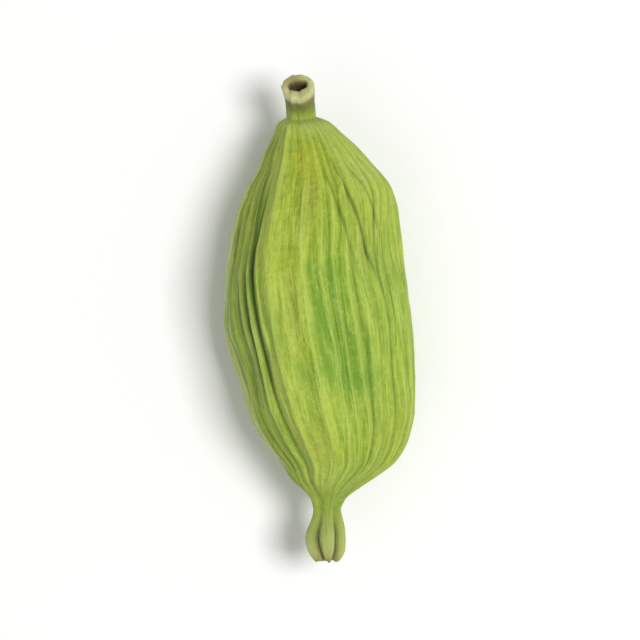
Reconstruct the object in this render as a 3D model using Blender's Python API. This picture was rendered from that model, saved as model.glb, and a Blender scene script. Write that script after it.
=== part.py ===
# Green cardamom pod: one dried three-angled husk with its stalk stub and its beak, lying on a flank.
# Metres, +Z up. The pod runs along X, its beak at -X and its stalk stub at +X, and it stands on Z = 0.

import math
import random

import bmesh
import bpy
from mathutils import Vector

# Lengths along the pod
BEAK_LENGTH = 0.0022
BODY_LENGTH = 0.0164
STALK_LENGTH = 0.0016

# Radii of the husk, of its beak and of its stalk stub
BODY_RADIUS = 0.00382
BEAK_KNOB_RADIUS = 0.00080
BEAK_TIP_RADIUS = 0.00060
STALK_RIM_RADIUS = 0.00069

# Where the beak's knob is full and where its waist starts, and where the stalk's rim starts, as shares of each
KNOB_SHARE = 0.45
WAIST_SHARE = 1.0
RIM_SHARE = 0.60

# The dish in the beak's tip and the hollow in the stalk's broken end
DISH_RADIUS = 0.00042
DISH_DEPTH = 0.00030
HOLLOW_RADIUS = 0.00040
HOLLOW_DEPTH = 0.00090
RIM_ROUNDING = 0.00008
FLOOR_SHARE = 0.6

# The body's mean radius at stations from the beak to the stalk, as shares of its length and of its full radius
BODY_GIRTHS = (
    (0.0, 0.138), (0.024, 0.182), (0.055, 0.328), (0.09, 0.495), (0.135, 0.66), (0.18, 0.772), (0.25, 0.882),
    (0.35, 0.945), (0.47, 0.995), (0.60, 0.955), (0.72, 0.874), (0.82, 0.731), (0.87, 0.602), (0.915, 0.495),
    (0.96, 0.36), (0.985, 0.285), (1.0, 0.16),
)

# How far its middle line lies towards +Y there
BODY_ASIDES = (
    (0.0, -0.00024), (0.055, -0.00039), (0.12, -0.00077), (0.17, -0.00070), (0.25, -0.00050), (0.37, -0.00023),
    (0.50, 0.00006), (0.62, 0.00022), (0.72, 0.00015), (0.82, 0.00010), (0.90, 0.00021), (0.96, 0.00042),
    (1.0, 0.00067),
)

# Three keels, in degrees from straight up towards +Y, and the ribs between each keel and the next
KEEL_ANGLES = (27.0, 119.0, 236.0)
RIBS_PER_FACE = (7, 10, 13)
KEEL_HEIGHT = 0.00026
KEEL_WIDTH = 3.6
TWIST = 8.0

# How far the three corners stand out of a circle, and the girth at which they are full
CORNER_SHARE = 0.085
CORNER_SHARPNESS = 1.35
CORNER_FULL_GIRTH = 0.62

# Ribs of the husk: they fade out beside a keel, in degrees, and between two girths as it closes into its necks
RIB_CLEARANCE = 9.0
RIB_HEIGHT = 0.00020
RIB_SLOPE = 0.07
CREST_SHARPNESS = 1.3
RIB_SPREAD = 0.30
RIB_MEANDER = 1.6
RIB_RIPPLE = 0.25
RIPPLE_WAVES = 1.5
RIB_START_GIRTH = 0.13
RIB_FULL_GIRTH = 0.46

# Low swellings: the seeds inside in their chambers, and one fuller shoulder by the stalk
SEED_SWELL = 0.00006
SEED_WAVES = 3.2
SEED_CHAMBERS = 3
SHOULDER_SWELL = 0.00042
SHOULDER_ANGLE = -70.0
SHOULDER_SPREAD = 34.0
SHOULDER_SHARE = 0.83
SHOULDER_LENGTH = 0.09

# Lobes and torn edge of the beak
BEAK_FLUTES = 5
FLUTE_SHARE = 0.14
TORN_EDGE = 0.00010

# How the two necks leave the X axis, in degrees
STALK_RISE = 52.0
STALK_RISE_START = 0.955
STALK_TURN = 8.0
BEAK_DROP = 4.0

# How much of the underside is worn to the flat spot that the pod lies on
REST_DEPTH = 0.00022

# Mesh
COLUMNS_PER_RIB = 4
BODY_ROWS = 27
BEAK_ROWS = 6
STALK_ROWS = 5
CENTRELINE_STEPS = 200
SEED = 11

POD_LENGTH = BEAK_LENGTH + BODY_LENGTH + STALK_LENGTH
HUSK_GREEN = (0.30, 0.45, 0.06, 1.0)
HUSK_ROUGHNESS = 0.62


def clear_scene():
    for obj in list(bpy.data.objects):
        bpy.data.objects.remove(obj, do_unlink=True)


def smooth_step(value, start=0.0, end=1.0):
    """0 before the start, 1 past the end, and an even S between them."""
    value = min(max((value - start) / (end - start), 0.0), 1.0)
    return value * value * (3 - 2 * value)


def body_share(along):
    """0 where the beak meets the body, 1 where the stalk does, beyond them on the beak and on the stalk."""
    return (along - BEAK_LENGTH) / BODY_LENGTH


def share_on_body(along):
    return min(max(body_share(along), 0.0), 1.0)


def station_slopes(stations):
    """Slope of the smooth curve at each station: level at every peak and dip, so that it never overshoots."""
    steps = [(far[0] - near[0], far[1] - near[1]) for near, far in zip(stations, stations[1:])]
    grades = [rise / run for run, rise in steps]
    slopes = [grades[0]]
    for (near_run, _), (far_run, _), near, far in zip(steps, steps[1:], grades, grades[1:]):
        near_weight, far_weight = 2 * far_run + near_run, far_run + 2 * near_run
        turning = near * far <= 0
        slopes.append(0.0 if turning else (near_weight + far_weight) / (near_weight / near + far_weight / far))
    return slopes + [grades[-1]]


def value_between(stations, share):
    """Value of the smooth curve through the stations at a share of the body's length."""
    slopes = station_slopes(stations)
    last = len(stations) - 2
    index = next((i for i in range(last) if share < stations[i + 1][0]), last)
    (start, near), (end, far) = stations[index], stations[index + 1]
    run = end - start
    part = (share - start) / run
    value = near + (far - near) * part * part * (3 - 2 * part)
    leaving, arriving = part * (1 - part) ** 2, part * part * (part - 1)
    return value + run * (leaving * slopes[index] + arriving * slopes[index + 1])


def beak_radius(along):
    """From the torn tip, out to the knob and in to the waist by the body."""
    share = along / BEAK_LENGTH
    waist = BODY_RADIUS * BODY_GIRTHS[0][1]
    knob = BEAK_TIP_RADIUS + (BEAK_KNOB_RADIUS - BEAK_TIP_RADIUS) * smooth_step(share, 0, KNOB_SHARE)
    return knob + (waist - BEAK_KNOB_RADIUS) * smooth_step(share, KNOB_SHARE, WAIST_SHARE)


def stalk_radius(along):
    """A plain tube that swells a little at its rim."""
    from_rim = (POD_LENGTH - along) / STALK_LENGTH
    tube = BODY_RADIUS * BODY_GIRTHS[-1][1]
    return tube + (STALK_RIM_RADIUS - tube) * smooth_step(from_rim, RIM_SHARE, 0)


def husk_radius(along):
    """Mean radius of the pod at a distance from the beak's tip."""
    share = body_share(along)
    if share < 0:
        return beak_radius(along)
    if share > 1:
        return stalk_radius(along)
    return BODY_RADIUS * value_between(BODY_GIRTHS, share)


def heading(along):
    """Direction in which the pod's rings face there."""
    share = body_share(along)
    at_stalk = smooth_step(share, STALK_RISE_START, body_share(POD_LENGTH))
    at_beak = smooth_step(share, 0, body_share(0))
    rise = math.radians(STALK_RISE * at_stalk + BEAK_DROP * at_beak)
    turn = math.radians(STALK_TURN * at_stalk)
    level = math.cos(rise)
    return Vector((level * math.cos(turn), level * math.sin(turn), math.sin(rise)))


def centre_at(along):
    """A point of the middle line, by walking along its heading from the beak's tip, then stepping aside."""
    step = along / CENTRELINE_STEPS
    walked = sum((heading(step * (i + 0.5)) for i in range(CENTRELINE_STEPS)), Vector()) * step
    return walked + Vector((0, value_between(BODY_ASIDES, share_on_body(along)), 0))


def row_places():
    """Distances of the rings from the beak's tip, closer together where the body closes."""
    stalk_start = BEAK_LENGTH + BODY_LENGTH
    stalk_end = STALK_LENGTH - RIM_ROUNDING
    beak = [BEAK_LENGTH * row / BEAK_ROWS for row in range(BEAK_ROWS)]
    shares = [(1 - math.cos(math.pi * row / BODY_ROWS)) / 2 for row in range(BODY_ROWS)]
    body = [BEAK_LENGTH + BODY_LENGTH * share for share in shares]
    stalk = [stalk_start + stalk_end * row / STALK_ROWS for row in range(STALK_ROWS + 1)]
    return beak + body + stalk


def rib_columns(draw):
    """Each column of the surface: its angle, its share of a rib's height, and the phase of its rib."""
    columns = []
    for face, rib_count in enumerate(RIBS_PER_FACE):
        start, span = face_span(face)
        widths = [1 + RIB_SPREAD * draw.uniform(-1, 1) for _ in range(rib_count)]
        edge = 0.0
        for width in widths:
            strength = draw.uniform(0.4, 1.0)
            phase = draw.uniform(0, 1)
            for column in range(COLUMNS_PER_RIB):
                part = column / COLUMNS_PER_RIB
                angle = start + span * (edge + width * part) / sum(widths)
                crest = (0.5 - 0.5 * math.cos(2 * math.pi * part)) ** CREST_SHARPNESS
                columns.append((angle, strength * crest, phase))
            edge += width
    return columns


def face_span(face):
    """The angle of the keel where a face starts, and how far round it is to the next keel."""
    start = KEEL_ANGLES[face]
    return start, (KEEL_ANGLES[(face + 1) % 3] - start) % 360


def corner_shape(angle):
    """1 on a keel, -1 in the middle of a face."""
    for face in range(3):
        start, span = face_span(face)
        place = ((angle - start) % 360) / span
        if place < 1:
            return 1 - 2 * math.sin(math.pi * place) ** CORNER_SHARPNESS
    return 1.0


def degrees_apart(angle, other):
    return abs((angle - other + 180) % 360 - 180)


def swelling_at(share, angle):
    """Low swellings of the body: a wave over the seeds, and one fuller shoulder."""
    wave = math.sin(2 * math.pi * (SEED_WAVES * share + SEED_CHAMBERS * angle / 360))
    across = degrees_apart(angle, SHOULDER_ANGLE) / SHOULDER_SPREAD
    lengthwise = (share - SHOULDER_SHARE) / SHOULDER_LENGTH
    shoulder = SHOULDER_SWELL * math.exp(-(across**2) - lengthwise**2)
    return SEED_SWELL * wave * math.sin(math.pi * share) + shoulder


def surface_radius(mean, along, angle, rib, phase):
    """Distance of the husk's surface from its centreline."""
    share = share_on_body(along)
    girth = mean / BODY_RADIUS
    on_body = smooth_step(girth, RIB_START_GIRTH, RIB_FULL_GIRTH)
    from_keel = min(degrees_apart(angle, k) for k in KEEL_ANGLES)
    keel = math.exp(-((from_keel / KEEL_WIDTH) ** 2))
    rib *= smooth_step(from_keel, 0, RIB_CLEARANCE)
    ripple = 1 - RIB_RIPPLE + RIB_RIPPLE * math.sin(2 * math.pi * (RIPPLE_WAVES * share + phase))
    corner = CORNER_SHARE * corner_shape(angle) * smooth_step(girth, 0, CORNER_FULL_GIRTH)
    radius = mean * (1 + corner) + swelling_at(share, angle)
    radius += on_body * (min(RIB_HEIGHT, RIB_SLOPE * mean) * rib * ripple + KEEL_HEIGHT * keel)
    if share > 0.5:
        return radius
    flutes = math.cos(math.radians(BEAK_FLUTES * angle)) * (1 - math.sin(math.pi * share)) ** 4
    return radius * (1 + FLUTE_SHARE * flutes)


def ring_points(along, mean, columns, torn_edge=0.0):
    """The points of one ring, square to the centreline."""
    centre = centre_at(along)
    forward = heading(along)
    side = Vector((0, 0, 1)).cross(forward).normalized()
    up = forward.cross(side)
    share = share_on_body(along)
    middle = math.sin(math.pi * share)
    points = []
    for angle, rib, phase in columns:
        radius = surface_radius(mean, along, angle, rib, phase)
        meander = RIB_MEANDER * math.sin(2 * math.pi * (share + phase)) * middle
        turned = math.radians(angle + TWIST * (share - 0.5) + meander)
        outward = up * math.cos(turned) + side * math.sin(turned)
        torn = math.sin(math.radians(3 * angle) + 4 * math.sin(math.radians(2 * angle)))
        points.append(centre + outward * radius + forward * torn_edge * torn)
    return points


def pod_rings():
    """Rings from the dish in the beak's tip, over the whole husk, to the floor of the stalk's hollow."""
    columns = rib_columns(random.Random(SEED))
    rings = [
        ring_points(DISH_DEPTH, FLOOR_SHARE * DISH_RADIUS, columns),
        ring_points(RIM_ROUNDING, DISH_RADIUS, columns, TORN_EDGE),
    ]
    for along in row_places():
        fading = max(0.0, 1 - along / (KNOB_SHARE * BEAK_LENGTH))
        rings.append(ring_points(along, husk_radius(along), columns, TORN_EDGE * fading))
    floor = POD_LENGTH - HOLLOW_DEPTH
    rings.append(ring_points(POD_LENGTH, (STALK_RIM_RADIUS + HOLLOW_RADIUS) / 2, columns, TORN_EDGE / 2))
    rings.append(ring_points(POD_LENGTH - RIM_ROUNDING, HOLLOW_RADIUS, columns))
    rings.append(ring_points(floor + RIM_ROUNDING, HOLLOW_RADIUS - RIM_ROUNDING / 2, columns))
    rings.append(ring_points(floor, FLOOR_SHARE * HOLLOW_RADIUS, columns))
    return rings


def rest_on_floor(rings):
    """Wears the underside to a flat spot, and puts the origin under the middle of the pod on that level."""
    points = [point for ring in rings for point in ring]
    floor = min(point.z for point in points) + REST_DEPTH
    middle_x = (min(p.x for p in points) + max(p.x for p in points)) / 2
    middle_y = (min(p.y for p in points) + max(p.y for p in points)) / 2
    for point in points:
        point.z = max(point.z, floor)
        point -= Vector((middle_x, middle_y, floor))


def skin(rings):
    """One closed mesh over the rings, with a fan over the dish and one over the hollow's floor."""
    mesh = bmesh.new()
    loops = [[mesh.verts.new(point) for point in ring] for ring in rings]
    for near, far in zip(loops, loops[1:]):
        for column in range(len(near)):
            after = (column + 1) % len(near)
            mesh.faces.new((near[column], far[column], far[after], near[after]))
    ends = [mesh.faces.new(loops[0]), mesh.faces.new(reversed(loops[-1]))]
    bmesh.ops.poke(mesh, faces=ends)
    bmesh.ops.recalc_face_normals(mesh, faces=mesh.faces)
    return mesh


def husk_material():
    material = bpy.data.materials.new("cardamom_husk")
    material.use_nodes = True
    shader = material.node_tree.nodes["Principled BSDF"]
    shader.inputs["Base Color"].default_value = HUSK_GREEN
    shader.inputs["Roughness"].default_value = HUSK_ROUGHNESS
    shader.inputs["Metallic"].default_value = 0.0
    return material


def make_pod():
    rings = pod_rings()
    rest_on_floor(rings)
    mesh = skin(rings)
    data = bpy.data.meshes.new("cardamom_pod")
    mesh.to_mesh(data)
    mesh.free()
    data.shade_smooth()
    data.materials.append(husk_material())
    pod = bpy.data.objects.new("cardamom_pod", data)
    bpy.context.scene.collection.objects.link(pod)


def main():
    clear_scene()
    make_pod()


main()
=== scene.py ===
import math
import random

import bpy
import numpy as np
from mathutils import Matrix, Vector


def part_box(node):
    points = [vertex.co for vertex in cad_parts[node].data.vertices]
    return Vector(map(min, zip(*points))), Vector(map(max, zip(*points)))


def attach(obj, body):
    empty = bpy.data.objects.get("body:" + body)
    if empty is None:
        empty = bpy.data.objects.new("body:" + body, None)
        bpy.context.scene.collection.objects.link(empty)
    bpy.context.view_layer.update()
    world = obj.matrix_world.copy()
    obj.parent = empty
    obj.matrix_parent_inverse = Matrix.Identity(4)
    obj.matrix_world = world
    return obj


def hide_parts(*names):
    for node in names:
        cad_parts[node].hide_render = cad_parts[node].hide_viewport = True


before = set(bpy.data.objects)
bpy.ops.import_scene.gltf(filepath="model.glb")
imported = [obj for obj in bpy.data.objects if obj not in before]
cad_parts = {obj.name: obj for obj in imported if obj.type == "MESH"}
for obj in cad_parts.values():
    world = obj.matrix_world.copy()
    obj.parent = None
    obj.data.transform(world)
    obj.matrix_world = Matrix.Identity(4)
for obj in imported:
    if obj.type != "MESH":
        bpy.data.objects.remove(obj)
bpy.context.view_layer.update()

# A dried green cardamom pod that lies on a flank. Metres, +Z up, its stalk stub at +X and its beak at -X.
podLow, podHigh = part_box("cardamom_pod")
print("frame loaded, the pod is", [round(1000 * side, 2) for side in podHigh - podLow], "mm")

# The husk. Its form: lengths and radii in metres, angles in degrees from straight up towards +Y
husk = {
    "beakLength": 0.0022, "bodyLength": 0.0164, "stalkLength": 0.0016,
    "bodyRadius": 0.00382, "beakKnob": 0.00080, "beakTip": 0.00060, "stalkRim": 0.00069,
    "knobShare": 0.45, "waistShare": 1.0, "rimShare": 0.60,
    # share of the body's length from the beak, share of its full radius
    "girths": ((0.0, 0.138), (0.024, 0.182), (0.055, 0.328), (0.09, 0.495), (0.135, 0.66), (0.18, 0.772),
               (0.25, 0.882), (0.35, 0.945), (0.47, 0.995), (0.60, 0.955), (0.72, 0.874), (0.82, 0.731),
               (0.87, 0.602), (0.915, 0.495), (0.96, 0.36), (0.985, 0.285), (1.0, 0.16)),
    # and how far its middle line lies towards +Y there
    "asides": ((0.0, -0.00024), (0.055, -0.00039), (0.12, -0.00077), (0.17, -0.00070), (0.25, -0.00050),
               (0.37, -0.00023), (0.50, 0.00006), (0.62, 0.00022), (0.72, 0.00015), (0.82, 0.00010),
               (0.90, 0.00021), (0.96, 0.00042), (1.0, 0.00067)),
    "keelAngles": (27.0, 119.0, 236.0), "ribsPerFace": (7, 10, 13),
    "keelHeight": 0.00026, "keelWidth": 3.6, "ribClearance": 9.0, "twist": 8.0,
    "cornerShare": 0.085, "cornerSharpness": 1.35, "cornerFullGirth": 0.62,
    "ribHeight": 0.00020, "ribSlope": 0.07, "crestSharpness": 1.3, "ribSpread": 0.30,
    "ribStrength": (0.4, 1.0), "ribMeander": 1.6, "ribRipple": 0.25, "rippleWaves": 1.5,
    "ribStartGirth": 0.13, "ribFullGirth": 0.46,
    "seedSwell": 0.00006, "seedWaves": 3.2, "seedChambers": 3,
    "shoulderSwell": 0.00042, "shoulderAngle": -70.0, "shoulderSpread": 34.0,
    "shoulderShare": 0.83, "shoulderLength": 0.09,
    "beakFlutes": 5, "fluteShare": 0.14, "fluteFade": 4,
    "tornEdge": 0.00010, "tornWaves": 3, "tornSway": 4, "swayWaves": 2,
    "stalkRise": 52.0, "stalkRiseStart": 0.955, "stalkTurn": 8.0, "beakDrop": 4.0,
    "rimRounding": 0.00008, "restDepth": 0.00022, "seed": 11,
    "solidMesh": {"columnsPerRib": 4, "bodyRows": 27, "beakRows": 6, "stalkRows": 5},  # as its solid is cut

    # What the dried skin adds: heights in metres, widths in ribs, cells as (round the husk, along it)
    "skinMesh": {"columnsPerRib": 16, "bodyRows": 132, "beakRows": 20, "stalkRows": 14},
    "mainVeinHeight": 0.000038, "mainVeinWidth": (0.07, 0.11), "mainVeinStrength": (0.35, 1.0),
    "sideVeinHeight": 0.000022, "sideVeinWidth": (0.05, 0.08), "sideVeinStrength": (0.10, 0.80),
    "furrowDepth": 0.000042, "furrowWidth": (0.06, 0.13), "furrowStrength": (0.02, 0.50),
    "mainVeinScatter": 0.08, "sideVeinPlaces": (0.22, 0.78), "sideVeinScatter": 0.06, "furrowScatter": 0.07,
    "lineStarts": (-0.15, 0.30), "lineEnds": (0.70, 1.15), "sideVeinTone": 0.7,
    "deepFace": 0, "deepFaceGain": 2.6,
    # longer furrows: from this share and angle to that share and angle, width in degrees, strength
    "longFurrows": ((0.90, 46.0, 0.34, 40.0, 2.2, 0.95), (0.60, 53.5, 0.30, 50.5, 2.5, 1.00),
                    (0.57, 66.0, 0.32, 62.0, 2.3, 0.85), (0.87, -24.0, 0.60, -50.0, 1.9, 0.85),
                    (0.85, -12.0, 0.64, -31.0, 1.5, 0.60), (0.88, -40.0, 0.70, -60.0, 1.6, 0.50)),
    "longVeins": ((0.97, 26.5, 0.06, 24.5, 1.3, 0.45), (0.66, 47.0, 0.24, 45.5, 1.7, 0.90),
                  (0.62, 60.0, 0.22, 56.0, 1.8, 0.90)),
    # a raised vein along the left outline, coloured pale as a painted highlight
    "edgeVeinsAndHighlight": ((0.96, 97.0, 0.10, 99.0, 6.0, 1.00),), "edgeVeinHeight": 0.000030,
    "longLineFade": 0.06, "deepStart": 0.12, "deepEnd": 0.42,
    "wander": 0.10, "wanderWaves": 1.3, "lineFade": 0.16,
    "fibreHeight": 0.000026, "fibreCells": (151, 19),
    "creaseHeight": 0.000022, "creaseCells": (71, 37),
    "dentDepth": 0.000040, "dentCells": (13, 8),
    "neckFibreHeight": 0.000040, "neckFibreCells": (31, 15),
    "knobLumpHeight": 0.00013, "knobLumpCells": (8, 19), "lobeGap": 0.00010, "lobeGapSharpness": 3,
    "lipLength": 0.00050, "lipDraw": 0.36,
    "toothHeight": 0.00002, "toothCells": (9, 1), "tearShare": 0.45, "lobeRounding": 0.00014,
    "chipHeight": 0.00006, "chipCells": (13, 1), "chippedShare": 0.4,
    # distance back from each end's tip and radius, from the outer edge in to the floor of the hollow
    "beakMouth": ((0.0, 0.00038), (-0.00003, 0.00033), (-0.00001, 0.00029), (0.00008, 0.00025),
                  (0.00024, 0.00019), (0.00028, 0.00005)),
    "stalkHollow": ((0.00008, 0.00069), (0.00001, 0.00064), (0.0, 0.00054), (0.00004, 0.00044),
                    (0.00016, 0.00039), (0.00078, 0.00036), (0.00090, 0.00006)),
    "beakMouthRows": 2, "stalkHollowRows": 3,
    "hollowAside": 0.00014, "hollowSquash": 0.64, "hollowStart": 0.15,
    # where the dry tones of the ends and the painted shade on the neck start and are full, as shares of the
    # end's own length
    "dryBeak": (1.35, 0.20), "neckShade": (0.95, 0.50), "paleRim": (0.30, 0.12),
    # the stub's side facing this way, away from the light, is darkened as painted shade
    "dryTip": 0.00032, "stubShadeAngle": 150.0, "stubShadeSpread": 100.0,
    "hollowShade": (0.03, 0.35), "dishShade": 0.45,
    "skinSeed": 29,

    # Its finish: linear colours, sizes in metres
    # furrow is painted shade along the furrows' creases
    "ridge": (0.385, 0.515, 0.051), "groove": (0.190, 0.315, 0.013), "furrow": (0.045, 0.088, 0.006),
    # edge is a painted highlight along the left outline
    "vein": (0.500, 0.605, 0.125), "keel": (0.440, 0.535, 0.090), "edge": (0.640, 0.720, 0.290),
    "freshGreenAndShade": (0.125, 0.300, 0.019), "straw": (0.400, 0.445, 0.015), "warm": (0.400, 0.330, 0.085),
    # neck is the stub tube's olive tan, darkened as painted shade under the rim and on the stub's side away
    # from the light
    "beak": (0.520, 0.550, 0.190), "lobeGapShade": (0.110, 0.125, 0.022), "neckTanAndShade": (0.200, 0.215, 0.045),
    # pith is the dried inside's brown, darkened as painted shade down the stub's hollow
    "stub": (0.640, 0.630, 0.280), "tan": (0.300, 0.190, 0.075), "pithAndShade": (0.100, 0.050, 0.020),
    "fleck": (0.200, 0.150, 0.030), "pale": (0.500, 0.610, 0.120),
    "veinShare": 0.60, "furrowShadeShare": 0.90, "keelShare": 0.35, "lobeGapShadeShare": 0.85, "edgeHighlightShare": 0.80,
    "tipShare": 0.60, "stubShadeShare": 0.75,
    # blushes as (share along, angle, length, spread, strength)
    # the fresh blushes at 57 and 80 degrees darken the left facet as painted shade; the others are greener
    # patches of the husk
    "freshGreenAndShadeBlushes": ((0.34, -17.0, 0.10, 14.0, 0.62), (0.47, -6.0, 0.09, 11.0, 0.55),
                     (0.58, -15.0, 0.08, 10.0, 0.55), (0.40, -12.0, 0.16, 18.0, 0.35),
                     (0.62, -66.0, 0.14, 20.0, 0.40), (0.45, 80.0, 0.25, 25.0, 0.35),
                     (0.36, 57.0, 0.09, 9.0, 0.60), (0.56, 46.0, 0.06, 8.0, 0.75),
                     (0.22, 48.0, 0.07, 8.0, 0.40), (0.57, -28.0, 0.06, 8.0, 0.35)),
    "strawBlushes": ((0.89, 14.0, 0.06, 26.0, 0.60), (0.80, 0.0, 0.14, 45.0, 0.45),
                     (0.20, 22.0, 0.10, 20.0, 0.35), (0.15, -60.0, 0.14, 30.0, 0.40)),
    "warmBlushes": ((0.80, 2.0, 0.045, 6.0, 0.60), (0.73, 6.0, 0.05, 5.0, 0.45),
                    (0.66, -38.0, 0.07, 8.0, 0.40), (0.17, 20.0, 0.05, 14.0, 0.40),
                    (0.53, 14.0, 0.07, 5.0, 0.50), (0.43, 19.0, 0.06, 4.0, 0.35)),
    "paleBlushes": ((0.975, 5.0, 0.03, 60.0, 0.75), (0.08, 25.0, 0.04, 30.0, 0.45),
                    (0.86, -48.0, 0.08, 20.0, 0.60), (0.24, 6.0, 0.10, 28.0, 0.20),
                    (0.87, 38.0, 0.07, 11.0, 0.65), (0.44, 47.0, 0.04, 8.0, 0.60)),
    # strands as (cells along, cells around, shift, detail, roughness), spots as (size, shift, detail)
    "streaks": (11.0, 28.0, (0.0, 0.0, 0.0), 4.0, 0.62), "fibres": (13.0, 44.0, (1.0, 5.0, 4.0), 3.0, 0.60),
    "dryStreaks": (7.0, 19.0, (7.0, 2.0, 6.0), 3.0, 0.60),
    "wideStreaks": (6.0, 10.0, (3.0, 1.0, 2.0), 2.0, 0.55),
    "patches": (0.0034, (0.0, 0.0, 0.0), 3.0), "widePatches": (0.00425, (0.1, 0.2, 0.3), 3.0),
    "flecks": (0.00030, (0.0, 0.0, 0.0), 2.0), "paper": (0.00009, (0.0, 0.0, 0.0), 2.0),
    "crinkles": (0.00026, (0.0, 0.0, 0.0), 3.0),
    # ramps as (value here, value there, result here, result there)
    "ribShadeWeight": 0.55, "wideStreakRamp": (0.32, 0.68, 0.0, 0.48), "streakRamp": (0.30, 0.70, -0.20, 0.20),
    "fibreRamp": (0.30, 0.70, -0.18, 0.18), "ridgeRamp": (-0.25, 0.80, 0.0, 1.0),
    "freshBreaks": (0.70, 0.35, 0.4, 1.0), "freshPatches": (0.50, 0.72, 0.0, 0.45),
    "strawBreaks": (0.30, 0.60, 0.4, 1.0), "strawPatches": (0.52, 0.75, 0.0, 0.40),
    "warmBreaks": (0.35, 0.60, 0.0, 1.0), "veinBreaks": (0.30, 0.62, 0.45, 1.0),
    "paleDashes": (0.58, 0.70, 0.0, 0.40), "darkDashes": (0.42, 0.30, 0.0, 0.50),
    "paleFibres": (0.56, 0.66, 0.0, 0.45), "darkFibres": (0.44, 0.34, 0.0, 0.40),
    "dryDashes": (0.60, 0.72, 0.0, 0.45), "fleckRamp": (0.70, 0.80, 0.0, 0.55),
    "paleMottle": (0.54, 0.68, 0.0, 0.28), "darkMottle": (0.46, 0.32, 0.0, 0.28),
    "beakBreaks": (0.30, 0.70, 0.5, 1.0), "stubShadeBreaks": (0.35, 0.60, 0.6, 1.0),
    "hollowTan": (0.0, 0.6, 0.0, 1.0), "hollowPithAndShade": (0.35, 1.0, 0.0, 1.0),
    "roughness": (0.30, 0.70, 0.52, 0.74), "specular": 0.34,
    "sheen": 0.14, "sheenRoughness": 0.40, "sheenTint": (0.80, 0.90, 0.50),
    "glow": 0.06, "glowDepth": 0.0004,
    "fibreRelief": 0.8, "paperRelief": 0.45, "crinkleRelief": 1.60,
    "reliefStrength": 0.7, "reliefHeight": 0.000085,
}
podLength = husk["beakLength"] + husk["bodyLength"] + husk["stalkLength"]
ribTotal = sum(husk["ribsPerFace"])


def smoothStep(value, start=0.0, end=1.0):
    value = np.clip((value - start) / (end - start), 0.0, 1.0)
    return value * value * (3 - 2 * value)


def smoothCurve(stations, at):  # through every station, level at each peak and dip
    place, height = np.array(stations).T
    run, grade = np.diff(place), np.diff(height) / np.diff(place)
    slope = np.zeros_like(place)
    slope[0], slope[-1] = grade[0], grade[-1]
    for i in range(1, len(place) - 1):
        if grade[i - 1] * grade[i] > 0:
            nearWeight, farWeight = 2 * run[i] + run[i - 1], run[i] + 2 * run[i - 1]
            slope[i] = (nearWeight + farWeight) / (nearWeight / grade[i - 1] + farWeight / grade[i])
    at = np.clip(at, 0, 1)
    i = np.clip(np.searchsorted(place, at, side="right") - 1, 0, len(run) - 1)
    part = (at - place[i]) / run[i]
    value = height[i] + (height[i + 1] - height[i]) * part * part * (3 - 2 * part)
    return value + run[i] * (part * (1 - part) ** 2 * slope[i] + part * part * (part - 1) * slope[i + 1])


def bodyShare(along):  # 0 where the beak meets the body, 1 where the stalk does
    return (along - husk["beakLength"]) / husk["bodyLength"]


def huskRadius(along):
    share = bodyShare(along)
    waist, tube = husk["bodyRadius"] * husk["girths"][0][1], husk["bodyRadius"] * husk["girths"][-1][1]
    beakShare = along / husk["beakLength"]
    tip, knob = husk["beakTip"], husk["beakKnob"]
    beak = tip + (knob - tip) * smoothStep(beakShare, 0, husk["knobShare"])
    beak += (waist - knob) * smoothStep(beakShare, husk["knobShare"], husk["waistShare"])
    fromRim = (podLength - along) / husk["stalkLength"]
    stalk = tube + (husk["stalkRim"] - tube) * smoothStep(fromRim, husk["rimShare"], 0)
    body = husk["bodyRadius"] * smoothCurve(husk["girths"], share)
    return np.where(share < 0, beak, np.where(share > 1, stalk, body))


def heading(along):  # the way that the rings face
    share = bodyShare(along)
    atStalk = smoothStep(share, husk["stalkRiseStart"], bodyShare(podLength))
    atBeak = smoothStep(share, 0, bodyShare(0))
    rise = np.radians(husk["stalkRise"] * atStalk + husk["beakDrop"] * atBeak)
    turn = np.radians(husk["stalkTurn"] * atStalk)
    return np.stack([np.cos(rise) * np.cos(turn), np.cos(rise) * np.sin(turn), np.sin(rise)], -1)


def middleLine(along, steps=200):
    walk = heading(np.outer(along, (np.arange(steps) + 0.5) / steps)).mean(1) * along[:, None]
    walk[:, 1] += smoothCurve(husk["asides"], bodyShare(along))
    return walk


def faceSpan(face):
    start = husk["keelAngles"][face]
    return start, (husk["keelAngles"][(face + 1) % 3] - start) % 360


def ribColumns(perRib):  # angle, place counted in ribs, strength and phase of every column round the husk
    draw = random.Random(husk["seed"])
    spread, columns = husk["ribSpread"], []
    for face, ribCount in enumerate(husk["ribsPerFace"]):
        start, span = faceSpan(face)
        widths = [1 + spread * draw.uniform(-1, 1) for _ in range(ribCount)]
        edge = 0.0
        for width in widths:
            strength = draw.uniform(*husk["ribStrength"])
            phase = draw.uniform(0, 1)
            rib = len(columns) // perRib
            for column in range(perRib):
                angle = start + span * (edge + width * column / perRib) / sum(widths)
                columns.append((angle, rib + column / perRib, strength, phase))
            edge += width
    return np.array(columns).T


def cornerShape(angle):  # 1 on a keel, -1 in the middle of a face
    shape = np.ones_like(angle)
    for face in range(3):
        start, span = faceSpan(face)
        place = ((angle - start) % 360) / span
        here = place < 1
        shape[here] = 1 - 2 * np.sin(math.pi * place[here]) ** husk["cornerSharpness"]
    return shape


def degreesApart(angle, other):
    return np.abs((angle - other + 180) % 360 - 180)


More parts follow.
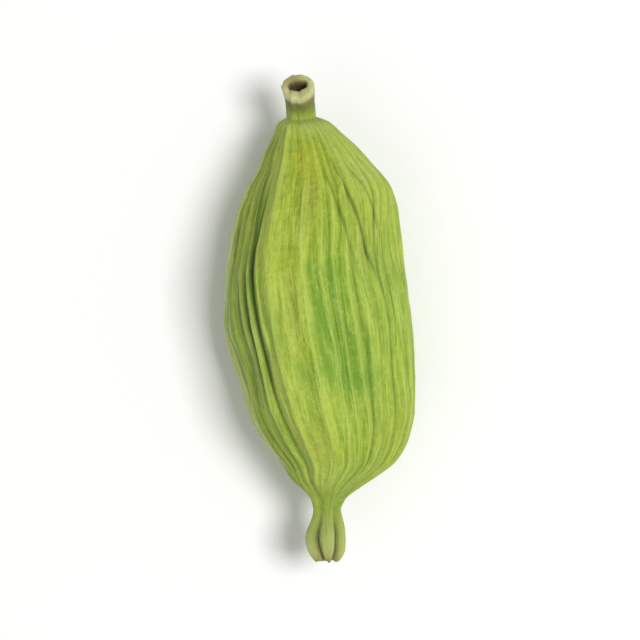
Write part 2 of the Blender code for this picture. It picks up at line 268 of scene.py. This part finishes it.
def skinNoise(angle, along, cells, seed):  # smooth, -1 to 1, and it closes on itself round the husk
    around, lengthwise = cells
    grid = np.random.default_rng(seed).uniform(-1, 1, (lengthwise + 2, around))
    u, v = np.broadcast_arrays((angle % 360) / 360 * around, np.clip(along / podLength, 0, 1) * lengthwise)
    i, j = np.floor(u).astype(int), np.floor(v).astype(int)
    s, t = smoothStep(u - i), smoothStep(v - j)
    i, after = i % around, (i + 1) % around
    near = grid[j, i] * (1 - s) + grid[j, after] * s
    far = grid[j + 1, i] * (1 - s) + grid[j + 1, after] * s
    return near * (1 - t) + far * t


def scattered(draw, places, scatter):
    return [place + draw.uniform(-scatter, scatter) for place in places]


def drawLines(draw, places, widths, strengths):  # place, width, strength, phase, start, end of each line
    return [(place, draw.uniform(*widths), draw.uniform(*strengths), draw.uniform(0, 1),
             draw.uniform(*husk["lineStarts"]), draw.uniform(*husk["lineEnds"])) for place in places]


def lineField(ribPlace, share, lines):
    field = np.zeros((len(share), len(ribPlace)))
    wander, waves, fade = husk["wander"], husk["wanderWaves"], husk["lineFade"]
    for place, width, strength, phase, start, end in lines:
        path = place + wander * np.sin(2 * math.pi * (waves * share + phase))
        apart = (ribPlace - path + ribTotal / 2) % ribTotal - ribTotal / 2
        shown = smoothStep(share, start, start + fade) * (1 - smoothStep(share, end - fade, end))
        field += strength * shown * np.exp(-((apart / width) ** 2))
    return field


def longLines(angle, share, lines):
    field, fade = np.zeros((len(share), len(angle))), husk["longLineFade"]
    for share0, angle0, share1, angle1, width, strength in lines:
        path = angle0 + (angle1 - angle0) * np.clip((share - share0) / (share1 - share0), 0, 1)
        shown = smoothStep(share, share1 - fade, share1 + fade)
        shown = shown * smoothStep(share, share0 + fade, share0 - fade)
        field += strength * shown * np.exp(-((degreesApart(angle, path) / width) ** 2))
    return field


def fineLines(ribPlace, share):  # raised main veins, thinner side veins and narrow furrows
    draw = random.Random(husk["skinSeed"])
    middles = [rib + 0.5 for rib in range(ribTotal)]
    flanks = [rib + side for rib in range(ribTotal) for side in husk["sideVeinPlaces"]]
    places = [scattered(draw, middles, husk["mainVeinScatter"]),
              scattered(draw, flanks, husk["sideVeinScatter"]),
              scattered(draw, range(ribTotal), husk["furrowScatter"])]
    mainVeins, sideVeins, furrows = [
        lineField(ribPlace, share, drawLines(draw, linePlaces, husk[kind + "Width"], husk[kind + "Strength"]))
        for kind, linePlaces in zip(("mainVein", "sideVein", "furrow"), places)]
    deepStart = sum(husk["ribsPerFace"][:husk["deepFace"]])
    deepEnd = deepStart + husk["ribsPerFace"][husk["deepFace"]]
    deep = (ribPlace >= deepStart) & (ribPlace <= deepEnd)
    # The deep face is turned away from the light: its furrows are cut deeper and coloured darker, which is
    # painted shade.
    deepening = (husk["deepFaceGain"] - 1) * deep * smoothStep(share, husk["deepStart"], husk["deepEnd"])
    return mainVeins, sideVeins, furrows * (1 + deepening)


def mouthRows(profile, between):  # an end's rows from its outer edge in, the depth of each from 0 to 1
    back, radius = np.array(profile).T
    knots = np.arange(len(profile))
    places = np.linspace(0, knots[-1], between * knots[-1] + 1)[1:]
    depth = np.clip(np.interp(places, knots, back) / max(back), 0, 1) * (places > np.argmin(back))
    return np.interp(places, knots, back), np.interp(places, knots, radius), depth


def huskRings(mesh, mouths):  # distance from the beak's tip, mean radius and depth in a hollow of every ring
    stalkStart = husk["beakLength"] + husk["bodyLength"]
    shares = (1 - np.cos(math.pi * np.arange(mesh["bodyRows"]) / mesh["bodyRows"])) / 2
    stalkEnd = husk["stalkLength"] - husk["rimRounding"]
    along = np.concatenate([
        husk["beakLength"] * np.arange(mesh["beakRows"]) / mesh["beakRows"],
        husk["beakLength"] + husk["bodyLength"] * shares,
        stalkStart + stalkEnd * np.arange(mesh["stalkRows"] + 1) / mesh["stalkRows"],
    ])
    radius, depth = huskRadius(along), np.zeros_like(along)
    if mouths:
        radius = radius * (1 - husk["lipDraw"] * np.clip(1 - along / husk["lipLength"], 0, 1) ** 2)
        beakBack, beakRadius, beakDepth = mouthRows(husk["beakMouth"], husk["beakMouthRows"])
        stalkBack, stalkRadius, stalkDepth = mouthRows(husk["stalkHollow"], husk["stalkHollowRows"])
        along = np.concatenate([beakBack[::-1], along, podLength - stalkBack])
        radius = np.concatenate([beakRadius[::-1], radius, stalkRadius])
        depth = np.concatenate([beakDepth[::-1], depth, stalkDepth])
    return along, radius, depth


def huskSurface(mesh, dressed):  # the points of every ring, and the tones that the skin's colours follow
    along, mean, depth = huskRings(mesh, dressed)
    angle, ribPlace, strength, phase = ribColumns(mesh["columnsPerRib"])
    place, mean, depth = along[:, None], mean[:, None], depth[:, None]
    share = np.clip(bodyShare(place), 0, 1)
    middle = np.sin(math.pi * share)
    girth = mean / husk["bodyRadius"]
    onBody = smoothStep(girth, husk["ribStartGirth"], husk["ribFullGirth"])

    crest = (0.5 - 0.5 * np.cos(2 * math.pi * ribPlace)) ** husk["crestSharpness"]
    rippling = np.sin(2 * math.pi * (husk["rippleWaves"] * share + phase))
    ripple = 1 - husk["ribRipple"] + husk["ribRipple"] * rippling
    fromKeel = np.min([degreesApart(angle, keel) for keel in husk["keelAngles"]], 0)
    keel = np.exp(-((fromKeel / husk["keelWidth"]) ** 2))
    ribRise = strength * crest * ripple * smoothStep(fromKeel, 0, husk["ribClearance"])
    corner = husk["cornerShare"] * cornerShape(angle) * smoothStep(girth, 0, husk["cornerFullGirth"])
    seeds = np.sin(2 * math.pi * (husk["seedWaves"] * share + husk["seedChambers"] * angle / 360))
    across = degreesApart(angle, husk["shoulderAngle"]) / husk["shoulderSpread"]
    lengthwise = (share - husk["shoulderShare"]) / husk["shoulderLength"]
    radius = mean * (1 + corner) + husk["seedSwell"] * seeds * middle
    radius = radius + husk["shoulderSwell"] * np.exp(-(across ** 2) - lengthwise ** 2)
    ribHeight = np.minimum(husk["ribHeight"], husk["ribSlope"] * mean)
    radius = radius + onBody * (ribHeight * ribRise + husk["keelHeight"] * keel)
    lobes = np.cos(np.radians(husk["beakFlutes"] * angle))
    lobeGaps = (0.5 - 0.5 * lobes) ** husk["lobeGapSharpness"]
    atBeak, atStalk = share <= 0.5, share >= 1
    onKnob = smoothStep(place, husk["beakLength"], husk["knobShare"] * husk["beakLength"])
    flutes = lobes * (1 - middle) ** husk["fluteFade"] * atBeak
    radius = radius * (1 + husk["fluteShare"] * flutes)
    torn = np.clip(1 - place / (husk["knobShare"] * husk["beakLength"]), 0, 1) * (1 - depth)
    sway = husk["tornSway"] * np.sin(np.radians(husk["swayWaves"] * angle))
    push = husk["tornEdge"] * torn * np.sin(np.radians(husk["tornWaves"] * angle) + sway)

    mainVeins, sideVeins, furrows = fineLines(ribPlace, share)
    furrows = furrows + longLines(angle, share, husk["longFurrows"])
    mainVeins = mainVeins + longLines(angle, share, husk["longVeins"])
    edgeVeinsAndHighlight = longLines(angle, share, husk["edgeVeinsAndHighlight"])
    if dressed:
        fibre = skinNoise(angle, place, husk["fibreCells"], husk["skinSeed"])
        crease = skinNoise(angle, place, husk["creaseCells"], husk["skinSeed"] + 1)
        dent = skinNoise(angle, place, husk["dentCells"], husk["skinSeed"] + 2)
        neckFibre = skinNoise(angle, place, husk["neckFibreCells"], husk["skinSeed"] + 3)
        teeth = skinNoise(angle, 0 * place, husk["toothCells"], husk["skinSeed"] + 4)
        chips = skinNoise(angle, 0 * place, husk["chipCells"], husk["skinSeed"] + 5)
        radius = radius + onBody * (
            husk["mainVeinHeight"] * mainVeins + husk["sideVeinHeight"] * sideVeins
            + husk["edgeVeinHeight"] * edgeVeinsAndHighlight - husk["furrowDepth"] * furrows
            + husk["fibreHeight"] * fibre + husk["creaseHeight"] * crease + husk["dentDepth"] * dent)
        radius = radius + (1 - onBody) * (1 - depth) * husk["neckFibreHeight"] * neckFibre
        knobLumps = skinNoise(angle, place, husk["knobLumpCells"], husk["skinSeed"] + 6)
        knob = onKnob * (1 - depth)
        radius = radius + knob * (husk["knobLumpHeight"] * knobLumps - husk["lobeGap"] * lobeGaps)
        chippedStart = podLength - husk["chippedShare"] * husk["stalkLength"]
        atRim = smoothStep(place, chippedStart, podLength - husk["rimRounding"])
        lobeEnds = husk["toothHeight"] * teeth + husk["lobeRounding"] * lobeGaps
        push = push * husk["tearShare"] + torn * lobeEnds
        push = push + husk["chipHeight"] * atRim * (1 - depth) * chips

    meander = husk["ribMeander"] * np.sin(2 * math.pi * (share + phase)) * middle
    if dressed:  # each rib wanders its own way, and neighbours meet halfway in the groove between them
        perRib, across = mesh["columnsPerRib"], ribPlace % 1
        besidePhase = np.where(across < 0.5, np.roll(phase, perRib), np.roll(phase, -perRib))
        besideMeander = husk["ribMeander"] * np.sin(2 * math.pi * (share + besidePhase)) * middle
        meander = meander + np.abs(across - 0.5) * (besideMeander - meander)
    turned = np.radians(angle + husk["twist"] * (share - 0.5) + meander)
    forward = heading(along)
    side = np.cross([0.0, 0.0, 1.0], forward)
    side /= np.linalg.norm(side, axis=1, keepdims=True)
    up = np.cross(forward, side)
    inHollow = smoothStep(depth, 0, husk["hollowStart"]) * atStalk
    middles = middleLine(along) - up * husk["hollowAside"] * inHollow
    upShare = np.cos(turned) * (1 - (1 - husk["hollowSquash"]) * inHollow)
    outward = up[:, None] * upShare[..., None] + side[:, None] * np.sin(turned)[..., None]
    points = middles[:, None] + outward * radius[..., None] + forward[:, None] * push[..., None]

    whole = np.ones_like(radius)
    fromBeak, fromStalk = place / husk["beakLength"], (podLength - place) / husk["stalkLength"]
    # painted shade on the stub's side turned away from the light
    stubShade = smoothStep(degreesApart(angle, husk["stubShadeAngle"]), husk["stubShadeSpread"], 0)
    # darker deeper in the hollows: the dried inside's brown with painted shade in the recess, less in the
    # beak's dish
    hollowShade = smoothStep(depth, *husk["hollowShade"]) * np.where(atStalk, 1.0, husk["dishShade"])
    tones = {
        "ribShadeTone": ribRise * onBody,
        "keelTone": keel ** 2 * onBody,
        "veinTone": np.clip(mainVeins + husk["sideVeinTone"] * sideVeins, 0, 1) * onBody,
        "furrowShadeTone": np.clip(furrows, 0, 1) * onBody,
        "edgeHighlightTone": np.clip(edgeVeinsAndHighlight, 0, 1) * onBody,
        "beakTone": whole * smoothStep(fromBeak, *husk["dryBeak"]),
        "neckShadeTone": whole * smoothStep(fromStalk, *husk["neckShade"]),
        "rimTone": whole * smoothStep(fromStalk, *husk["paleRim"]),
        "stubShadeTone": whole * stubShade * atStalk,
        "hollowTone": whole * hollowShade,
        # darker between the knob's lobes: painted shade in the gaps
        "lobeGapShadeTone": lobeGaps * onKnob,
        "tipTone": whole * smoothStep(place, husk["dryTip"], 0) * atBeak,
        "angle": whole * angle,
        "share": whole * share,
    }
    around = np.radians(angle)
    grain = np.stack([whole * share, whole * np.cos(around), whole * np.sin(around)], -1)
    return points, tones, grain


def restingPlace():  # the middle of the pod's box, at the level of its flat spot
    points = huskSurface(husk["solidMesh"], False)[0].reshape(-1, 3)
    low, high = points.min(0), points.max(0)
    return np.array([(low[0] + high[0]) / 2, (low[1] + high[1]) / 2, low[2] + husk["restDepth"]])


def withCentres(rings):  # one more value for the middle of each end
    flat = rings.reshape(-1, *rings.shape[2:])
    return np.concatenate([flat, rings[:1].mean(1), rings[-1:].mean(1)])


def storeTone(mesh, name, values):
    mesh.attributes.new(name, "FLOAT", "POINT").data.foreach_set("value", values.astype(np.float32))


def buildHusk():
    points, tones, grain = huskSurface(husk["skinMesh"], True)
    points = points - restingPlace()
    points[..., 2] = np.maximum(points[..., 2], 0.0)
    rows, columns = points.shape[:2]
    index = np.arange(rows * columns).reshape(rows, columns)
    after = np.roll(index, -1, 1)
    quads = np.stack([index[:-1], index[1:], after[1:], after[:-1]], -1).reshape(-1, 4)
    dishMiddle, hollowMiddle = rows * columns, rows * columns + 1
    fans = [(dishMiddle, int(a), int(b)) for a, b in zip(index[0], after[0])]
    fans += [(hollowMiddle, int(b), int(a)) for a, b in zip(index[-1], after[-1])]
    data = bpy.data.meshes.new("cardamomHusk")
    data.from_pydata(withCentres(points).tolist(), [], quads.tolist() + fans)
    data.shade_smooth()
    for name, tone in tones.items():
        storeTone(data, name, withCentres(tone))
    grainData = data.attributes.new("grain", "FLOAT_VECTOR", "POINT").data
    grainData.foreach_set("vector", withCentres(grain).astype(np.float32).reshape(-1))
    pod = bpy.data.objects.new("cardamomHusk", data)
    bpy.context.scene.collection.objects.link(pod)
    return pod


pod = buildHusk()
pod.data.calc_loop_triangles()
print("husk built:", len(pod.data.loop_triangles), "triangles")

def blushTone(blushes, mesh):
    angle, share = readTone(mesh, "angle"), readTone(mesh, "share")
    tone = np.zeros_like(share)
    for place, middle, length, spread, strength in blushes:
        apart = degreesApart(angle, middle)
        tone += strength * np.exp(-(((share - place) / length) ** 2) - (apart / spread) ** 2)
    return np.clip(tone, 0, 1)


def readTone(mesh, name):
    values = np.empty(len(mesh.vertices), np.float32)
    mesh.attributes[name].data.foreach_get("value", values)
    return values


def addNode(tree, kind, settings=None, **sockets):
    node = tree.nodes.new(kind)
    for name, value in (settings or {}).items():
        setattr(node, name, value)
    for name, value in sockets.items():
        plug(tree, value, node.inputs[name])
    return node


def plug(tree, value, socket):  # a node's output is linked, a plain value is set
    if isinstance(value, bpy.types.NodeSocket):
        tree.links.new(value, socket)
    else:
        socket.default_value = value


def toneOf(tree, name):
    return addNode(tree, "ShaderNodeAttribute", {"attribute_name": name}).outputs["Fac"]


def noise(tree, coords, scale, detail, roughness=0.55):
    return addNode(tree, "ShaderNodeTexNoise", Vector=coords, Scale=scale, Detail=detail,
                   Roughness=roughness).outputs["Fac"]


def strands(tree, grain, pattern):  # noise drawn out along the husk's grain
    along, around, shift, detail, roughness = pattern
    drawnOut = addNode(tree, "ShaderNodeMapping", Vector=grain, Scale=(along, around, around), Location=shift)
    return noise(tree, drawnOut.outputs["Vector"], 1.0, detail, roughness)


def spots(tree, place, pattern):  # noise of the same size every way
    size, shift, detail = pattern
    moved = addNode(tree, "ShaderNodeMapping", Vector=place, Location=shift)
    return noise(tree, moved.outputs["Vector"], 1 / size, detail)


def remap(tree, value, ramp):
    node = addNode(tree, "ShaderNodeMapRange", {"interpolation_type": "SMOOTHSTEP"}, Value=value)
    for socket, number in zip(list(node.inputs)[1:5], ramp):
        socket.default_value = number
    return node.outputs["Result"]


def maths(tree, operation, first, *others):
    for other in others:
        node = addNode(tree, "ShaderNodeMath", {"operation": operation})
        plug(tree, first, node.inputs[0])
        plug(tree, other, node.inputs[1])
        first = node.outputs["Value"]
    return first


def blend(tree, share, first, second):
    node = addNode(tree, "ShaderNodeMix", {"data_type": "RGBA"})
    for socketIndex, value in ((0, share), (6, first), (7, second)):
        plug(tree, (*value, 1.0) if isinstance(value, tuple) else value, node.inputs[socketIndex])
    return node.outputs[2]


def huskMaterial():
    material = bpy.data.materials.new("driedGreenHusk")
    material.use_nodes = True
    tree = material.node_tree
    shader = tree.nodes["Principled BSDF"]
    place = addNode(tree, "ShaderNodeTexCoord").outputs["Object"]
    grain = addNode(tree, "ShaderNodeAttribute", {"attribute_name": "grain"}).outputs["Vector"]
    streaks, fibres, dryStreaks, wideStreaks = [
        strands(tree, grain, husk[name]) for name in ("streaks", "fibres", "dryStreaks", "wideStreaks")]
    patches, widePatches, flecks, paper, crinkles = [
        spots(tree, place, husk[name]) for name in ("patches", "widePatches", "flecks", "paper", "crinkles")]

    def ramped(value, rampName):
        return remap(tree, value, husk[rampName])

    def shareOf(toneName, *others):
        return maths(tree, "MULTIPLY", toneOf(tree, toneName), *others)

    # The colour goes from groove to ridge green with the ribs' height, which is painted shade down in the
    # grooves between ribs, and with streaks of real tone.
    height = maths(tree, "ADD", shareOf("ribShadeTone", husk["ribShadeWeight"]), ramped(wideStreaks, "wideStreakRamp"),
                   ramped(streaks, "streakRamp"), ramped(fibres, "fibreRamp"))
    colour = blend(tree, ramped(height, "ridgeRamp"), husk["groove"], husk["ridge"])
    freshGreenAndShade = maths(tree, "ADD", shareOf("freshGreenAndShadeTone", ramped(wideStreaks, "freshBreaks")),
                  ramped(patches, "freshPatches"))
    straw = maths(tree, "ADD", shareOf("strawTone", ramped(wideStreaks, "strawBreaks")),
                  ramped(widePatches, "strawPatches"))
    broken = ramped(streaks, "veinBreaks")
    stubShadeRim = shareOf("rimTone", husk["stubShadeShare"])
    layers = (  # each colour and how much of it lies over the ones before: first the blushes
        ("freshGreenAndShade", freshGreenAndShade), ("straw", straw), ("warm", shareOf("warmTone", ramped(streaks, "warmBreaks"))),
        ("pale", toneOf(tree, "paleTone")),
        # short dashes and fibres, then veins, keel, the painted highlight along the left edge, and the
        # painted shade in the furrows
        ("vein", ramped(streaks, "paleDashes")), ("groove", ramped(streaks, "darkDashes")),
        ("vein", ramped(fibres, "paleFibres")), ("groove", ramped(fibres, "darkFibres")),
        ("warm", ramped(dryStreaks, "dryDashes")),
        ("vein", ramped(crinkles, "paleMottle")), ("groove", ramped(crinkles, "darkMottle")),
        ("vein", shareOf("veinTone", broken, husk["veinShare"])),
        ("keel", shareOf("keelTone", husk["keelShare"])),
        ("edge", shareOf("edgeHighlightTone", broken, husk["edgeHighlightShare"])),
        ("furrow", shareOf("furrowShadeTone", husk["furrowShadeShare"])),
        ("fleck", ramped(flecks, "fleckRamp")),
        # the dry ends, with painted shade between the knob's lobes, on the neck under the rim, on the stub's
        # side away from the light and down the hollows
        ("beak", shareOf("beakTone", ramped(streaks, "beakBreaks"))),
        ("lobeGapShade", shareOf("lobeGapShadeTone", husk["lobeGapShadeShare"])),
        ("tan", shareOf("tipTone", husk["tipShare"])),
        ("neckTanAndShade", toneOf(tree, "neckShadeTone")),
        ("stub", toneOf(tree, "rimTone")),
        ("neckTanAndShade", shareOf("stubShadeTone", ramped(fibres, "stubShadeBreaks"), stubShadeRim)),
        ("tan", ramped(toneOf(tree, "hollowTone"), "hollowTan")),
        ("pithAndShade", ramped(toneOf(tree, "hollowTone"), "hollowPithAndShade")),
    )
    for name, share in layers:
        colour = blend(tree, share, colour, husk[name])
    tree.links.new(colour, shader.inputs["Base Color"])

    tree.links.new(ramped(streaks, "roughness"), shader.inputs["Roughness"])
    shader.inputs["Specular IOR Level"].default_value = husk["specular"]
    shader.inputs["Sheen Weight"].default_value = husk["sheen"]
    shader.inputs["Sheen Roughness"].default_value = husk["sheenRoughness"]
    shader.inputs["Sheen Tint"].default_value = (*husk["sheenTint"], 1.0)
    shader.inputs["Subsurface Weight"].default_value = husk["glow"]
    shader.inputs["Subsurface Scale"].default_value = husk["glowDepth"]
    relief = maths(tree, "ADD", streaks, maths(tree, "MULTIPLY", fibres, husk["fibreRelief"]),
                   maths(tree, "MULTIPLY", paper, husk["paperRelief"]),
                   maths(tree, "MULTIPLY", crinkles, husk["crinkleRelief"]))
    bump = addNode(tree, "ShaderNodeBump", Height=relief, Strength=husk["reliefStrength"],
                   Distance=husk["reliefHeight"])
    tree.links.new(bump.outputs["Normal"], shader.inputs["Normal"])
    return material


def dressHusk(pod):
    for name in ("freshGreenAndShade", "straw", "warm", "pale"):
        tone = blushTone(husk[name + "Blushes"], pod.data)
        storeTone(pod.data, name + "Tone", tone)
    pod.data.materials.append(huskMaterial())
    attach(pod, "root")
    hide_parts("cardamom_pod")


dressHusk(pod)
print("husk coloured and set on the pod")

# The studio: a plain pale floor, soft light from above and from the upper right, a camera straight above
studio = {
    "floorSize": 0.8, "floorColour": (0.90, 0.90, 0.89), "floorRoughness": 0.9,
    "roomColour": (1.0, 1.0, 1.0), "roomStrength": 0.40,
    "keyPower": 0.93, "keySize": 0.12, "keyPlace": (0.01, -0.13, 0.33),
    "fillPower": 0.16, "fillSize": 0.30, "fillPlace": (-0.16, 0.16, 0.30),
    "lens": 250.0, "sensor": 36.0, "frameWidth": 0.0268, "roll": -0.6,
}


def makeFloor():
    half = studio["floorSize"] / 2
    data = bpy.data.meshes.new("paleFloor")
    corners = [(-half, -half, 0), (half, -half, 0), (half, half, 0), (-half, half, 0)]
    data.from_pydata(corners, [], [(0, 1, 2, 3)])
    floor = bpy.data.objects.new("paleFloor", data)
    bpy.context.scene.collection.objects.link(floor)
    material = bpy.data.materials.new("paleFloor")
    material.use_nodes = True
    shader = material.node_tree.nodes["Principled BSDF"]
    shader.inputs["Base Color"].default_value = (*studio["floorColour"], 1.0)
    shader.inputs["Roughness"].default_value = studio["floorRoughness"]
    data.materials.append(material)


def makeLight(name, power, size, place):
    lamp = bpy.data.lights.new(name, "AREA")
    lamp.energy = power
    lamp.size = size
    light = bpy.data.objects.new(name, lamp)
    light.location = place
    light.rotation_euler = Vector(place).to_track_quat("Z", "Y").to_euler()
    bpy.context.scene.collection.objects.link(light)


def makeRoom():
    room = bpy.data.worlds.new("paleRoom")
    room.use_nodes = True
    background = room.node_tree.nodes["Background"]
    background.inputs["Color"].default_value = (*studio["roomColour"], 1.0)
    background.inputs["Strength"].default_value = studio["roomStrength"]
    bpy.context.scene.world = room
    bpy.context.scene.view_settings.view_transform = "Standard"


def makeCamera():  # the top of the picture is +X, its left is +Y
    data = bpy.data.cameras.new("fromAbove")
    data.lens = studio["lens"]
    data.sensor_width = studio["sensor"]
    distance = studio["lens"] / studio["sensor"] * studio["frameWidth"]
    data.clip_start, data.clip_end = distance / 20, distance * 20
    middle = (podLow + podHigh) / 2
    camera = bpy.data.objects.new("fromAbove", data)
    camera.location = (middle.x, middle.y, middle.z + distance)
    camera.rotation_euler = (0, 0, math.radians(studio["roll"] - 90))
    bpy.context.scene.collection.objects.link(camera)
    bpy.context.scene.camera = camera


makeFloor()
makeLight("keyLight", studio["keyPower"], studio["keySize"], studio["keyPlace"])
makeLight("fillLight", studio["fillPower"], studio["fillSize"], studio["fillPlace"])
makeRoom()
makeCamera()
print("studio and camera ready")
